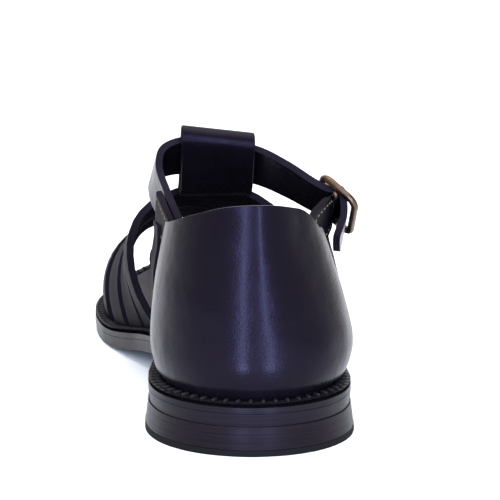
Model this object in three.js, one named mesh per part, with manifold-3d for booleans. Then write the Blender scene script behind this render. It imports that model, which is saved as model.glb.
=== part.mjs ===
// Closed-toe leather sandal, right shoe, size EU 42.
// Millimetres. +Z is up, +Y points to the toe and +X to the outer (lateral) side.
// Y in the tables is the length from the back of the heel and Z = 0 is the floor. The finished part
// is moved back so that its origin is the middle of the heel's floor face.

import * as THREE from 'three';
import { mergeVertices } from 'three/addons/utils/BufferGeometryUtils.js';
import Module from 'manifold-3d';

const wasm = await Module();
wasm.setup();

// Driving sizes
const SOLE_LENGTH = 286;
const CLEARANCE = 0.3;
const HEEL_BREAST_Y = 74;
const HEEL_CENTRE_Y = 38;
const TOP_PIECE_THICKNESS = 2;
const HEEL_SEAT_HEIGHT = 9.8;
const OUTSOLE_THICKNESS = 4.2;
const MIDSOLE_THICKNESS = 1.7;
const WELT_THICKNESS = 1.5;
const MARGIN_THICKNESS = 1.2;
const MARGIN_WIDTH = 5.5;
const INSOLE_THICKNESS = 2.5;
const HEEL_FLARE = 1.2;
const SOLE_TRIM = 0.4;
const WELT_INSET = 0.1;
const INSOLE_GAP = 1;
const WALL = 2.2;
const STRAP = 2.6;
const ANKLE_STRAP = 2.5;
const LOOP_THICKNESS = 2.4;

// Heights over the line of the sole's underside
const MIDSOLE_BASE = OUTSOLE_THICKNESS + CLEARANCE;
const FEATHER = MIDSOLE_BASE + MIDSOLE_THICKNESS + CLEARANCE;
const WELT_TOP = FEATHER + WELT_THICKNESS;
const INSOLE_BASE = FEATHER + MARGIN_THICKNESS + CLEARANCE;
const INSOLE_TOP = INSOLE_BASE + INSOLE_THICKNESS;

// Edge of the sole seen from above: inner (medial) and outer (lateral) side at each length
const OUTLINE = [
  { y: 1.4, medial: -9, lateral: 9 },
  { y: 5.5, medial: -17.5, lateral: 17.5 },
  { y: 12, medial: -24.5, lateral: 24.5 },
  { y: 22, medial: -30.5, lateral: 30.5 },
  { y: 35, medial: -33.8, lateral: 33.8 },
  { y: 50, medial: -34, lateral: 34.2 },
  { y: 66, medial: -32, lateral: 34 },
  { y: 84, medial: -29.6, lateral: 34.3 },
  { y: 102, medial: -29, lateral: 36 },
  { y: 120, medial: -31, lateral: 39 },
  { y: 138, medial: -35.2, lateral: 42.6 },
  { y: 156, medial: -40.8, lateral: 45.8 },
  { y: 174, medial: -45.6, lateral: 47.6 },
  { y: 192, medial: -48.2, lateral: 47.9 },
  { y: 210, medial: -48.6, lateral: 46.9 },
  { y: 227, medial: -46.6, lateral: 44.6 },
  { y: 241, medial: -42.8, lateral: 41 },
  { y: 253, medial: -37.4, lateral: 35.8 },
  { y: 263, medial: -30.8, lateral: 29.4 },
  { y: 271.5, medial: -23.2, lateral: 21.6 },
  { y: 279, medial: -14.4, lateral: 12.4 },
  { y: 283.6, medial: -8, lateral: 5.4 },
];
const TOE_TIP_X = -1.6;
const SOLE_SECTIONS = 56;
const HEEL_SECTIONS = 28;

// Underside of the sole: heel seat, arch, flat tread and toe spring
const SOLE_LINE = [
  { y: 0, z: HEEL_SEAT_HEIGHT },
  { y: 76, z: HEEL_SEAT_HEIGHT },
  { y: 92, z: 10.1 },
  { y: 110, z: 9.5 },
  { y: 130, z: 7 },
  { y: 150, z: 3.4 },
  { y: 168, z: 0.8 },
  { y: 182, z: 0 },
  { y: 232, z: 0 },
  { y: 250, z: 1.6 },
  { y: 268, z: 4.8 },
  { y: 286, z: 9 },
];

// How far the upper's foot stands in from the edge of the sole
const LEDGE = [
  { y: 0, width: 4.5 },
  { y: 60, width: 4.4 },
  { y: 120, width: 3.6 },
  { y: 286, width: 3.2 },
];

// Foot form over the arch and forefoot, a row per section. x and z place the ridge, the top line. On
// each side (M inner, L outer) flare leans the wall out over the feather line, rise lifts that lean
// and shoulder widens the top.
const LAST = [
  { y: 92, x: -8, z: 86, flareM: 16, riseM: 28, shoulderM: 38, flareL: 8, riseL: 14, shoulderL: 26 },
  { y: 107, x: -8, z: 72, flareM: 18, riseM: 28, shoulderM: 40, flareL: 8, riseL: 14, shoulderL: 28 },
  { y: 120, x: -8, z: 66, flareM: 18, riseM: 22, shoulderM: 40, flareL: 8, riseL: 14, shoulderL: 28 },
  { y: 145, x: -7, z: 59, flareM: 13, riseM: 26, shoulderM: 33, flareL: 8, riseL: 16, shoulderL: 28 },
  { y: 170, x: -6, z: 53.5, flareM: 11, riseM: 26, shoulderM: 30, flareL: 8, riseL: 17, shoulderL: 26 },
  { y: 200, x: -4, z: 46.5, flareM: 5, riseM: 24, shoulderM: 30, flareL: 8, riseL: 17, shoulderL: 24 },
  { y: 228, x: -2.5, z: 39, flareM: 4, riseM: 18, shoulderM: 22, flareL: 6, riseL: 15, shoulderL: 20 },
  { y: 252, x: -1.5, z: 33, flareM: 2.5, riseM: 13, shoulderM: 14, flareL: 2.5, riseL: 12, shoulderL: 14 },
  { y: 268, x: -1.5, z: 28.6, flareM: 1, riseM: 9, shoulderM: 8, flareL: 1, riseL: 9, shoulderL: 8 },
  { y: 278, x: -1.5, z: 24, flareM: 0, riseM: 5, shoulderM: 3, flareL: 0, riseL: 5, shoulderL: 3 },
  { y: 283, x: -1.5, z: 18.6, flareM: 0, riseM: 2, shoulderM: 0, flareL: 0, riseL: 2, shoulderL: 0 },
];
const STEEPEST_RIDGE = 2;

// Counter: how far its wall leans out at each height over the sole line, and how much more the outer
// side does so
const COUNTER_LEAN = [
  { up: FEATHER, out: 0, skew: 0 },
  { up: 8.4, out: 0.05, skew: 0 },
  { up: 11.5, out: 2.1, skew: 0.9 },
  { up: 21, out: 3.8, skew: 1.4 },
  { up: 35, out: 2.8, skew: -0.4 },
  { up: 51, out: 0.2, skew: -2.8 },
  { up: 61, out: -1.8, skew: -3.8 },
  { up: 73, out: -4.4, skew: -3.8 },
];
// Heights over the counter's foot at which its wall swells out of the welt
const COUNTER_SWELL = [0, 3];
const COUNTER_WALL_FROM = 7;
// Top edge of the counter and the length that its front edge reaches at each height
const TOPLINE = [
  { y: 0, medial: 81.8, lateral: 81.8 },
  { y: 3, medial: 81.2, lateral: 81.2 },
  { y: 6, medial: 80.5, lateral: 80.5 },
  { y: 12, medial: 79, lateral: 79.5 },
  { y: 18, medial: 77.7, lateral: 78.7 },
  { y: 25, medial: 76.3, lateral: 76.7 },
  { y: 34, medial: 74.4, lateral: 73.3 },
  { y: 46, medial: 72.3, lateral: 68.6 },
  { y: 58, medial: 70.6, lateral: 67.6 },
  { y: 80, medial: 68, lateral: 66.8 },
];
const COUNTER_REACH = [
  { up: FEATHER, medial: 77, lateral: 74 },
  { up: 20, medial: 71.5, lateral: 68 },
  { up: 35, medial: 66, lateral: 61 },
  { up: 50, medial: 59, lateral: 53 },
  { up: 60, medial: 54, lateral: 48 },
];

// Cage straps, each one strap from the inner feather line over the foot to the outer one
const CAGE = [
  { medial: 130, ridge: 111, lateral: 116, width: 14 },
  { medial: 147, ridge: 130, lateral: 138, width: 13 },
  { medial: 165, ridge: 150, lateral: 162, width: 13 },
  { medial: 189, ridge: 171, lateral: 187, width: 13 },
];
// The straps sweep back to the ridge by this power of the way across
const CAGE_SWEEP = 1.4;

// T-bar and toe cap: half width over the surface, and how high the strap lies over the foot form
const T_BAR = [
  { y: 109, half: 12.6, lift: 1.9 },
  { y: 120, half: 12, lift: 1.9 },
  { y: 150, half: 10.6, lift: 1.9 },
  { y: 185, half: 9.6, lift: 1.9 },
  { y: 205, half: 9.8, lift: 1.4 },
  { y: 222, half: 11.2, lift: 0.2 },
  { y: 238, half: 14, lift: 0 },
  { y: 252, half: 18, lift: 0 },
  { y: 262, half: 24, lift: 0 },
  { y: 267, half: 31, lift: 0 },
];
const T_BAR_START_Y = 109;
const TOE_CAP_FULL_Y = 269;
const TOE_CAP_WIDENS_Y = 240;

// Loop at the top of the T-bar, seen from the side: centre line of the folded strap
const LOOP = [
  { y: 116, z: 69.4 },
  { y: 111.5, z: 71.8 },
  { y: 108, z: 74.8 },
  { y: 105.4, z: 78.5 },
  { y: 99.1, z: 85.3 },
  { y: 92.9, z: 92 },
  { y: 90, z: 93.8 },
  { y: 86.8, z: 93.6 },
  { y: 85.3, z: 90.8 },
  { y: 87.1, z: 86.9 },
  { y: 92.8, z: 79.6 },
  { y: 98.8, z: 72.8 },
  { y: 103.4, z: 70.4 },
  { y: 109, z: 69.8 },
  { y: 114, z: 68.6 },
];
const LOOP_CENTRE_X = -7.8;
const LOOP_HALF_WIDTH = 12.8;
// The fold leans to one side by LOOP_ROLL from this height on, over this rise
const LOOP_ROLL = 0.12;
const LOOP_ROLL_FROM_Z = 70;
const LOOP_ROLL_RISE = 12;

// Ankle strap: its rear (upper) and front (lower) edge, from the inner ear to the free tip
const ANKLE_PATH = [
  { rear: [-20.4, 43, 64.0], front: [-21.8, 55, 50.3] },
  { rear: [-23.2, 52, 70.0], front: [-23.8, 64.4, 56.2] },
  { rear: [-26.4, 65, 76.8], front: [-26.4, 77.4, 63.2] },
  { rear: [-28.8, 79, 84.4], front: [-30.6, 91.2, 71.0] },
  { rear: [-26.8, 86, 89.2], front: [-29.8, 98.4, 75.9] },
  { rear: [-20.2, 89.2, 91.4], front: [-23.0, 101.8, 78.0] },
  { rear: [-7.8, 90.4, 90.2], front: [-8.4, 102.9, 76.6] },
  { rear: [5.4, 88.6, 88.2], front: [6.6, 101.4, 74.2] },
  { rear: [15.8, 84.6, 83.4], front: [17.2, 98.6, 70.0] },
  { rear: [25.8, 80.0, 77.3], front: [25.8, 95.7, 65.6] },
  { rear: [30.5, 78.4, 75.2], front: [30.5, 94.1, 63.4] },
  { rear: [34.3, 78.5, 75.2], front: [34.3, 94.2, 63.5] },
  { rear: [35.0, 76.8, 73.1], front: [35.0, 92.5, 61.3] },
  { rear: [35.0, 72.7, 67.5], front: [35.0, 88.3, 55.7] },
  { rear: [33.6, 69.6, 64.2], front: [34.2, 85.0, 54.1] },
  { rear: [32.2, 66.6, 61.6], front: [33.5, 81.0, 53.0] },
  { rear: [31.5, 65.0, 60.3], front: [32.9, 77.4, 52.7] },
];

// The inner ear lies over the strap's first sections and shares them
const STRAP_SECTIONS = 60;
const MEDIAL_EAR_SECTIONS = 8;

// Outer ear: strap from the counter's front corner to under the buckle, same columns
const LATERAL_EAR = [
  { rear: [20.6, 40, 63.3], front: [23.4, 55, 47.8] },
  { rear: [21.8, 50, 70.8], front: [25.4, 63.4, 56.6] },
  { rear: [25.6, 60, 73.0], front: [29.0, 74.0, 60.0] },
  { rear: [29.0, 70, 73.6], front: [31.0, 84.5, 61.4] },
  { rear: [29.9, 75.2, 72.6], front: [30.5, 89.2, 61.8] },
];

// Quarter straps: from the feather line up to the ears, same columns
const MEDIAL_QUARTER = [
  { rear: [-24.6, 80, 17.3], front: [-23.8, 96, 17.3] },
  { rear: [-24.8, 80, 19.1], front: [-24.1, 96, 19.1] },
  { rear: [-28.4, 79.5, 24.8], front: [-28.4, 95, 25.3] },
  { rear: [-29.8, 78.5, 34.8], front: [-30.2, 93, 35.8] },
  { rear: [-30.0, 76, 46.8], front: [-30.4, 90.5, 48.8] },
  { rear: [-28.8, 71, 57.8], front: [-29.4, 85.5, 59.2] },
  { rear: [-28.9, 67, 64.8], front: [-29.9, 79, 65.2] },
];
const LATERAL_QUARTER = [
  { rear: [28.4, 80, 17.3], front: [29.8, 96, 17.3] },
  { rear: [28.7, 80, 19.1], front: [30.1, 96, 19.1] },
  { rear: [32.6, 79.5, 24.8], front: [33.8, 95, 25.3] },
  { rear: [33.6, 78, 34.8], front: [35, 93, 35.8] },
  { rear: [30.6, 74, 46.8], front: [32.4, 88, 47.8] },
  { rear: [26.8, 68, 56.8], front: [29.4, 82, 58.3] },
  { rear: [25.6, 64, 62.8], front: [28.8, 77, 64.3] },
];

// Buckle: a rounded frame with a bar across its middle. The ankle strap runs under the frame's outer
// bar, over the centre bar and under the far bar. Along runs from the outer bar to the far one.
const OUTER_BAR = [28.5, 88.9, 72.8];
const BUCKLE_ALONG = [0.69, -0.43, -0.58];
const BUCKLE_ACROSS = [0, 0.8, -0.6];
const BUCKLE_LENGTH = 15.2;
const BUCKLE_WIDTH = 23.4;
const BUCKLE_CORNER = 3.6;
const BUCKLE_WIRE = 1.3;
const CENTRE_WIRE = 1.1;
const CENTRE_BAR_DROP = 2.1;
const PRONG_WIRE = 1.1;
const PRONG_OVERHANG = 2.4;

// Colours of the photo
const BLACK_LEATHER = { color: '#1d191c', roughness: 0.42, metalness: 0 };
const EDGE_LEATHER = { color: '#3a3331', roughness: 0.6, metalness: 0 };
const INSOLE_LEATHER = { color: '#4a4442', roughness: 0.7, metalness: 0 };
const STACK_LEATHER = { color: '#241c1a', roughness: 0.5, metalness: 0 };
const RUBBER = { color: '#171414', roughness: 0.8, metalness: 0 };
const OLD_BRASS = { color: '#7a5b46', roughness: 0.35, metalness: 1 };

// Smooth curve through one column of a table, flat where the table is flat
function column(rows, key, value) {
  const x = rows.map((row) => row[key]);
  const v = rows.map((row) => row[value]);
  const last = x.length - 1;
  const slope = x.slice(1).map((end, i) => (v[i + 1] - v[i]) / (end - x[i]));
  const tangent = v.map((_, i) => {
    if (i === 0 || i === last) return slope[Math.min(i, last - 1)];
    if (slope[i - 1] * slope[i] <= 0) return 0;
    return 2 / (1 / slope[i - 1] + 1 / slope[i]);
  });
  return (at) => {
    if (at <= x[0]) return v[0];
    if (at >= x[last]) return v[last];
    const i = x.findIndex((end) => end > at) - 1;
    const span = x[i + 1] - x[i];
    const s = (at - x[i]) / span;
    const rise = v[i + 1] - v[i];
    const a = span * tangent[i] - rise;
    const b = rise - span * tangent[i + 1];
    return v[i] + rise * s + s * (1 - s) * (a * (1 - s) + b * s);
  };
}

const soleLine = column(SOLE_LINE, 'y', 'z');
const ledge = column(LEDGE, 'y', 'width');
const counterLean = column(COUNTER_LEAN, 'up', 'out');
const counterSkew = column(COUNTER_LEAN, 'up', 'skew');
const toplines = { '-1': column(TOPLINE, 'y', 'medial'), 1: column(TOPLINE, 'y', 'lateral') };
const reaches = { '-1': column(COUNTER_REACH, 'up', 'medial'), 1: column(COUNTER_REACH, 'up', 'lateral') };
const barHalf = column(T_BAR, 'y', 'half');
const barLift = column(T_BAR, 'y', 'lift');
const form = {};
for (const name of Object.keys(LAST[0]).slice(1)) {
  form[name] = column(LAST, 'y', name);
}

// Closed outline of the sole. Parameter 0 is the heel's back, STATIONS the toe tip.
const STATIONS = OUTLINE.length + 1;
const outlineCurve = new THREE.CatmullRomCurve3(
  [
    new THREE.Vector3(0, 0, 0),
    ...OUTLINE.map((row) => new THREE.Vector3(row.medial, row.y, 0)),
    new THREE.Vector3(TOE_TIP_X, SOLE_LENGTH, 0),
    ...OUTLINE.map((row) => new THREE.Vector3(row.lateral, row.y, 0)).reverse(),
  ],
  true,
  'centripetal',
);

// Point of the sole's edge at t on the medial (-1) or lateral (1) side, moved in by inset
function edgePoint(t, side, inset = 0) {
  const turn = t / (2 * STATIONS);
  const u = side < 0 ? turn : (1 - turn) % 1;
  const point = outlineCurve.getPoint(u);
  const ahead = outlineCurve.getPoint((u + 1e-4) % 1);
  const behind = outlineCurve.getPoint((u - 1e-4 + 1) % 1);
  const along = ahead.sub(behind).normalize();
  return new THREE.Vector3(point.x + along.y * inset, point.y - along.x * inset, 0);
}

// Parameter t where the edge of one side reaches the length y
function stationAt(y, side = -1) {
  let low = 0;
  let high = STATIONS;
  for (let step = 0; step < 30; step += 1) {
    const middle = (low + high) / 2;
    if (edgePoint(middle, side).y < y) low = middle;
    else high = middle;
  }
  return (low + high) / 2;
}

function series(from, to, count) {
  return Array.from({ length: count + 1 }, (_, i) => from + ((to - from) * i) / count);
}

// Solid from sections. Each section is a loop of an even number of points, and the two halves of a
// loop face each other, so that an end is closed by a strip across them.
function loft(sections, closed = false) {
  const size = sections[0].length;
  const positions = [];
  const faces = [];
  for (const section of sections) {
    for (const point of section) positions.push(point.x, point.y, point.z);
  }
  const quad = (a, b, c, d) => faces.push(a, b, c, a, c, d);
  const spans = closed ? sections.length : sections.length - 1;
  for (let i = 0; i < spans; i += 1) {
    const here = i * size;
    const next = ((i + 1) % sections.length) * size;
    for (let j = 0; j < size; j += 1) {
      const k = (j + 1) % size;
      quad(here + j, here + k, next + k, next + j);
    }
  }
  if (!closed) {
    const end = (sections.length - 1) * size;
    for (let j = 0; j < size / 2 - 1; j += 1) {
      quad(j, size - 1 - j, size - 2 - j, j + 1);
      quad(end + j, end + j + 1, end + size - 2 - j, end + size - 1 - j);
    }
  }
  return solid(positions, faces);
}

// Manifold solid of a triangle list, turned right side out, with its points merged
function solid(positions, faces) {
  const loose = new THREE.BufferGeometry();
  loose.setAttribute('position', new THREE.Float32BufferAttribute(positions, 3));
  loose.setIndex(faces);
  const merged = mergeVertices(loose, 1e-3);
  const index = [];
  const source = merged.index.array;
  for (let i = 0; i < source.length; i += 3) {
    const [a, b, c] = source.slice(i, i + 3);
    if (a !== b && b !== c && c !== a) index.push(a, b, c);
  }
  const points = merged.attributes.position.array;
  let volume = 0;
  for (let i = 0; i < index.length; i += 3) {
    const [a, b, c] = index.slice(i, i + 3).map((k) => new THREE.Vector3().fromArray(points, 3 * k));
    volume += a.dot(b.cross(c));
  }
  if (volume < 0) index.reverse();
  return new wasm.Manifold(new wasm.Mesh({
    numProp: 3,
    vertProperties: new Float32Array(points),
    triVerts: new Uint32Array(index),
  }));
}

function union(solids) {
  return solids.reduce((sum, next) => sum.add(next));
}

// Layer of the sole between two heights over the sole line, each with its own inset from the edge
function slab({ from = 0, to = STATIONS, count, bottom, top, insetBottom, insetTop }) {
  const sections = series(from, to, count).map((t) => {
    const corner = (side, inset, height) => {
      const point = edgePoint(t, side, inset);
      point.z = height(point.y);
      return point;
    };
    return [
      corner(-1, insetTop, top),
      corner(1, insetTop, top),
      corner(1, insetBottom, bottom),
      corner(-1, insetBottom, bottom),
    ];
  });
  return loft(sections);
}

function buildOutsole() {
  return slab({
    count: SOLE_SECTIONS,
    bottom: soleLine,
    top: (y) => soleLine(y) + OUTSOLE_THICKNESS,
    insetBottom: SOLE_TRIM,
    insetTop: 0,
  });
}

function buildMidsole() {
  return slab({
    count: SOLE_SECTIONS,
    bottom: (y) => soleLine(y) + MIDSOLE_BASE,
    top: (y) => soleLine(y) + MIDSOLE_BASE + MIDSOLE_THICKNESS,
    insetBottom: 0,
    insetTop: 0,
  });
}

function buildInsole() {
  const inset = ledge(0) + WALL + INSOLE_GAP;
  return slab({
    count: SOLE_SECTIONS,
    bottom: (y) => soleLine(y) + INSOLE_BASE,
    top: (y) => soleLine(y) + INSOLE_TOP,
    insetBottom: inset,
    insetTop: inset,
  });
}

// Inset of the heel's side at a height, below zero where it flares out
function heelFlare(z) {
  return HEEL_FLARE * (z / HEEL_SEAT_HEIGHT - 1);
}

function buildHeelStack() {
  const bottom = TOP_PIECE_THICKNESS + CLEARANCE;
  const top = HEEL_SEAT_HEIGHT - CLEARANCE;
  return slab({
    to: stationAt(HEEL_BREAST_Y),
    count: HEEL_SECTIONS,
    bottom: () => bottom,
    top: () => top,
    insetBottom: heelFlare(bottom),
    insetTop: heelFlare(top),
  });
}

function buildTopPiece() {
  return slab({
    to: stationAt(HEEL_BREAST_Y),
    count: HEEL_SECTIONS,
    bottom: () => 0,
    top: () => TOP_PIECE_THICKNESS,
    insetBottom: heelFlare(0),
    insetTop: heelFlare(TOP_PIECE_THICKNESS),
  });
}

// Sections all the way round the sole between two insets and two heights over the sole line
function ring(count, outer, inner, base, top) {
  const sections = [];
  for (const side of [-1, 1]) {
    for (let i = 0; i < count; i += 1) {
      const t = side < 0 ? (STATIONS * i) / count : STATIONS - (STATIONS * i) / count;
      const corner = (inset, up) => {
        const point = edgePoint(t, side, inset(edgePoint(t, side).y));
        point.z = soleLine(point.y) + up;
        return point;
      };
      sections.push([corner(outer, top), corner(inner, top), corner(inner, base), corner(outer, base)]);
    }
  }
  return loft(sections, true);
}

function buildWelt() {
  return ring(52, () => WELT_INSET, (y) => ledge(y) - CLEARANCE, FEATHER, WELT_TOP);
}

// Upper: lasting margin under the insole
function lastingMargin() {
  return ring(38, ledge, (y) => ledge(y) + MARGIN_WIDTH, FEATHER, FEATHER + MARGIN_THICKNESS);
}

// Upper: heel counter, a column of the wall at each station around the heel
function counter() {
  const levels = 7;
  const sections = series(-1, 1, 30).map((u) => {
    const side = u < 0 ? -1 : 1;
    const reach = reaches[side];
    const turned = side < 0 ? 0 : Math.min(1, 2 * u);
    const skew = turned ** 2 * (3 - 2 * turned);
    const far = edgePoint(stationAt(reach(20), side) * Math.abs(u), side).y;
    const foot = WELT_TOP + CLEARANCE;
    const top = toplines[side](far) - HEEL_SEAT_HEIGHT;
    const swell = COUNTER_SWELL.map((up) => foot + up);
    const heights = [FEATHER, ...swell, ...series(foot + COUNTER_WALL_FROM, top, levels)];
    const wall = (depth) => heights.map((up) => {
      const t = stationAt(reach(up), side) * Math.abs(u);
      const lean = counterLean(up) + counterSkew(up) * skew;
      const point = edgePoint(t, side, ledge(0) - lean + depth);
      point.z = soleLine(point.y) + up;
      return point;
    });
    return [...wall(0), ...wall(WALL).reverse()];
  });
  return loft(sections);
}

// Point of the foot form at station t. Across it runs from -1 at the inner feather line over the
// ridge at 0 to 1 at the outer one, and past them straight down through the welt's height by 2.
// Depth goes in from the form's surface.
function footPoint(t, across, depth) {
  const side = across < 0 ? -1 : 1;
  const key = side < 0 ? 'M' : 'L';
  const rim = edgePoint(t, side).y;
  const foot = edgePoint(t, side, ledge(rim) + depth);
  foot.z = soleLine(foot.y) + WELT_TOP + CLEARANCE;
  const past = Math.abs(across) - 1;
  if (past > 0) {
    foot.z += (FEATHER - WELT_TOP - CLEARANCE) * past;
    return foot;
  }
  const far = edgePoint(t, -side, ledge(rim) + depth);
  const y = (foot.y + far.y) / 2;
  const slope = (form.z(y + 1) - form.z(y - 1)) / 2;
  const lean = Math.min(Math.hypot(1, slope), STEEPEST_RIDGE);
  const ridge = new THREE.Vector3(form.x(y), y, form.z(y) - depth * lean);
  const wall = foot.clone();
  wall.x += side * form['flare' + key](y);
  wall.z += form['rise' + key](y);
  const shoulder = ridge.clone();
  shoulder.x += side * form['shoulder' + key](y);
  return new THREE.CubicBezierCurve3(foot, wall, shoulder, ridge).getPoint(1 - Math.abs(across));
}

// Value of across where the surface has gone half the given width from the ridge
function acrossAt(t, side, half, depth) {
  let before = footPoint(t, 0, depth);
  let length = 0;
  const steps = 60;
  for (let i = 1; i <= steps; i += 1) {
    const point = footPoint(t, (side * i) / steps, depth);
    const span = point.distanceTo(before);
    if (length + span >= half) return (side * (i - 1 + (half - length) / span)) / steps;
    length += span;
    before = point;
  }
  return side;
}

// Upper: one cage strap over the foot from feather line to feather line
function cageStrap({ medial, ridge, lateral, width }) {
  const columns = 3;
  const sections = [-2, ...series(-1, 1, 18), 2].map((across) => {
    const end = across < 0 ? medial : lateral;
    const centre = ridge + (end - ridge) * Math.min(1, Math.abs(across)) ** CAGE_SWEEP;
    const row = (depth) => series(-0.5, 0.5, columns).map((k) => {
      return footPoint(stationAt(centre + k * width), across, depth);
    });
    return [...row(0), ...row(STRAP).reverse()];
  });
  return loft(sections);
}

// Upper: T-bar along the ridge, widening into the toe cap that closes the toe
function toeBar() {
  const columns = 8;
  const widening = stationAt(TOE_CAP_WIDENS_Y);
  const stations = [
    ...series(stationAt(T_BAR_START_Y), widening, 12),
    ...series(widening, STATIONS, 18).slice(1),
  ];
  const sections = stations.map((t) => {
    const y = edgePoint(t, -1).y;
    const row = (depth) => {
      const deep = depth - barLift(y);
      const full = y > TOE_CAP_FULL_Y;
      const left = full ? -1 : acrossAt(t, -1, barHalf(y), deep);
      const right = full ? 1 : acrossAt(t, 1, barHalf(y), deep);
      const root = full ? 2 : 1;
      return [-root, ...series(-1, 1, columns), root].map((k) => {
        return footPoint(t, k < 0 ? -left * k : right * k, deep);
      });
    };
    return [...row(0), ...row(STRAP).reverse()];
  });
  return loft(sections);
}

// Upper: folded loop at the top of the T-bar, closed around the ankle strap
function barLoop() {
  const path = new THREE.CatmullRomCurve3(LOOP.map((row) => new THREE.Vector3(0, row.y, row.z)));
  const sections = series(0, 1, 26).map((u) => {
    const point = path.getPoint(u);
    const along = path.getTangent(u);
    const corner = (side, out) => {
      const x = LOOP_CENTRE_X + side * LOOP_HALF_WIDTH;
      const share = Math.min(1, Math.max(0, (point.z - LOOP_ROLL_FROM_Z) / LOOP_ROLL_RISE));
      const roll = -LOOP_ROLL * side * LOOP_HALF_WIDTH * share;
      const y = point.y - (along.z * out * LOOP_THICKNESS) / 2;
      return new THREE.Vector3(x, y, point.z + (along.y * out * LOOP_THICKNESS) / 2 + roll);
    };
    return [corner(-1, 1), corner(1, 1), corner(1, -1), corner(-1, -1)];
  });
  return loft(sections);
}

// Strap ruled between its rear and front edge up to a share of its rows. Shift moves it along its
// own normal, towards the foot.
function ruledStrap(rows, thickness, count, { shift = 0, reach = 1, columns = 3 } = {}) {
  const rear = new THREE.CatmullRomCurve3(rows.map((row) => new THREE.Vector3(...row.rear)));
  const front = new THREE.CatmullRomCurve3(rows.map((row) => new THREE.Vector3(...row.front)));
  const sections = series(0, reach, count).map((u) => {
    const a = rear.getPoint(u);
    const b = front.getPoint(u);
    const along = rear.getTangent(u).add(front.getTangent(u));
    const normal = new THREE.Vector3().crossVectors(b.clone().sub(a), along).normalize();
    const row = (out) => series(0, 1, columns).map((k) => {
      return a.clone().lerp(b, k).addScaledVector(normal, out);
    });
    return [...row(shift + thickness / 2), ...row(shift - thickness / 2).reverse()];
  });
  return loft(sections);
}

function buildUpper() {
  const outside = -(ANKLE_STRAP / 2 + CLEARANCE + WALL / 2);
  return union([
    lastingMargin(),
    counter(),
    ...CAGE.map(cageStrap),
    toeBar(),
    barLoop(),
    ruledStrap(ANKLE_PATH, WALL, MEDIAL_EAR_SECTIONS, {
      shift: outside,
      reach: MEDIAL_EAR_SECTIONS / STRAP_SECTIONS,
    }),
    ruledStrap(LATERAL_EAR, WALL, 10),
    ruledStrap(MEDIAL_QUARTER, WALL, 10),
    ruledStrap(LATERAL_QUARTER, WALL, 10),
  ]);
}

// Round bar through the points of a path, closed on itself or with flat ends
function wire(points, radius, closed = false) {
  const sides = 10;
  const last = points.length - 1;
  const sections = points.map((point, i) => {
    const ahead = points[closed ? (i + 1) % points.length : Math.min(i + 1, last)];
    const behind = points[closed ? (i + last) % points.length : Math.max(i - 1, 0)];
    const along = ahead.clone().sub(behind).normalize();
    const up = buckle.normal.clone().addScaledVector(along, -along.dot(buckle.normal)).normalize();
    const beside = new THREE.Vector3().crossVectors(along, up);
    return series(0, 2 * Math.PI, sides).slice(1).map((angle) => point.clone()
      .addScaledVector(up, radius * Math.cos(angle))
      .addScaledVector(beside, radius * Math.sin(angle)));
  });
  return loft(sections, closed);
}

// Place of the buckle: its outer and centre bar and its own directions
function placeBuckle() {
  const outer = new THREE.Vector3(...OUTER_BAR);
  const width = new THREE.Vector3(...BUCKLE_ACROSS).normalize();
  const along = new THREE.Vector3(...BUCKLE_ALONG);
  along.addScaledVector(width, -along.dot(width)).normalize();
  const normal = new THREE.Vector3().crossVectors(along, width).normalize();
  const centre = outer.clone()
    .addScaledVector(along, BUCKLE_LENGTH / 2)
    .addScaledVector(normal, -CENTRE_BAR_DROP);
  return { outer, centre, width, along, normal };
}

const buckle = placeBuckle();

function buildBuckleFrame() {
  const { outer, centre, width, along } = buckle;
  const half = BUCKLE_WIDTH / 2 - BUCKLE_CORNER;
  const points = [];
  for (let corner = 0; corner < 4; corner += 1) {
    const side = corner === 0 || corner === 3 ? -1 : 1;
    const reach = corner < 2 ? BUCKLE_LENGTH - BUCKLE_CORNER : BUCKLE_CORNER;
    const middle = outer.clone().addScaledVector(width, side * half).addScaledVector(along, reach);
    for (const angle of series(0, Math.PI / 2, 5)) {
      const turn = angle + ((corner - 1) * Math.PI) / 2;
      points.push(middle.clone()
        .addScaledVector(along, BUCKLE_CORNER * Math.cos(turn))
        .addScaledVector(width, BUCKLE_CORNER * Math.sin(turn)));
    }
  }
  const ends = [-1, 1].map((side) => {
    return centre.clone().addScaledVector(width, (side * BUCKLE_WIDTH) / 2);
  });
  return wire(points, BUCKLE_WIRE, true).add(wire(ends, CENTRE_WIRE));
}

// Prong from the centre bar up through the strap and, past its knee, along over the outer bar
function prong(clearance) {
  const { outer, centre, along, normal } = buckle;
  const over = BUCKLE_WIRE + CLEARANCE + PRONG_WIRE;
  const rest = outer.clone().addScaledVector(normal, over);
  const knee = rest.clone().addScaledVector(along, over);
  const tip = rest.clone().addScaledVector(along, -PRONG_OVERHANG);
  const root = centre.clone().addScaledVector(along, -(CENTRE_WIRE + CLEARANCE + PRONG_WIRE));
  root.addScaledVector(root.clone().sub(knee).normalize(), clearance);
  return wire([root, knee, tip], PRONG_WIRE + clearance);
}

function buildAnkleStrap() {
  return ruledStrap(ANKLE_PATH, ANKLE_STRAP, STRAP_SECTIONS).subtract(prong(2 * CLEARANCE));
}

const pieces = [
  ['heel_top_piece', buildTopPiece(), RUBBER],
  ['heel_stack', buildHeelStack(), STACK_LEATHER],
  ['outsole', buildOutsole(), EDGE_LEATHER],
  ['midsole', buildMidsole(), EDGE_LEATHER],
  ['welt', buildWelt(), EDGE_LEATHER],
  ['insole', buildInsole(), INSOLE_LEATHER],
  ['upper', buildUpper(), BLACK_LEATHER],
  ['ankle_strap', buildAnkleStrap(), BLACK_LEATHER],
  ['buckle_frame', buildBuckleFrame(), OLD_BRASS],
  ['buckle_prong', prong(0), OLD_BRASS],
];

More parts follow.
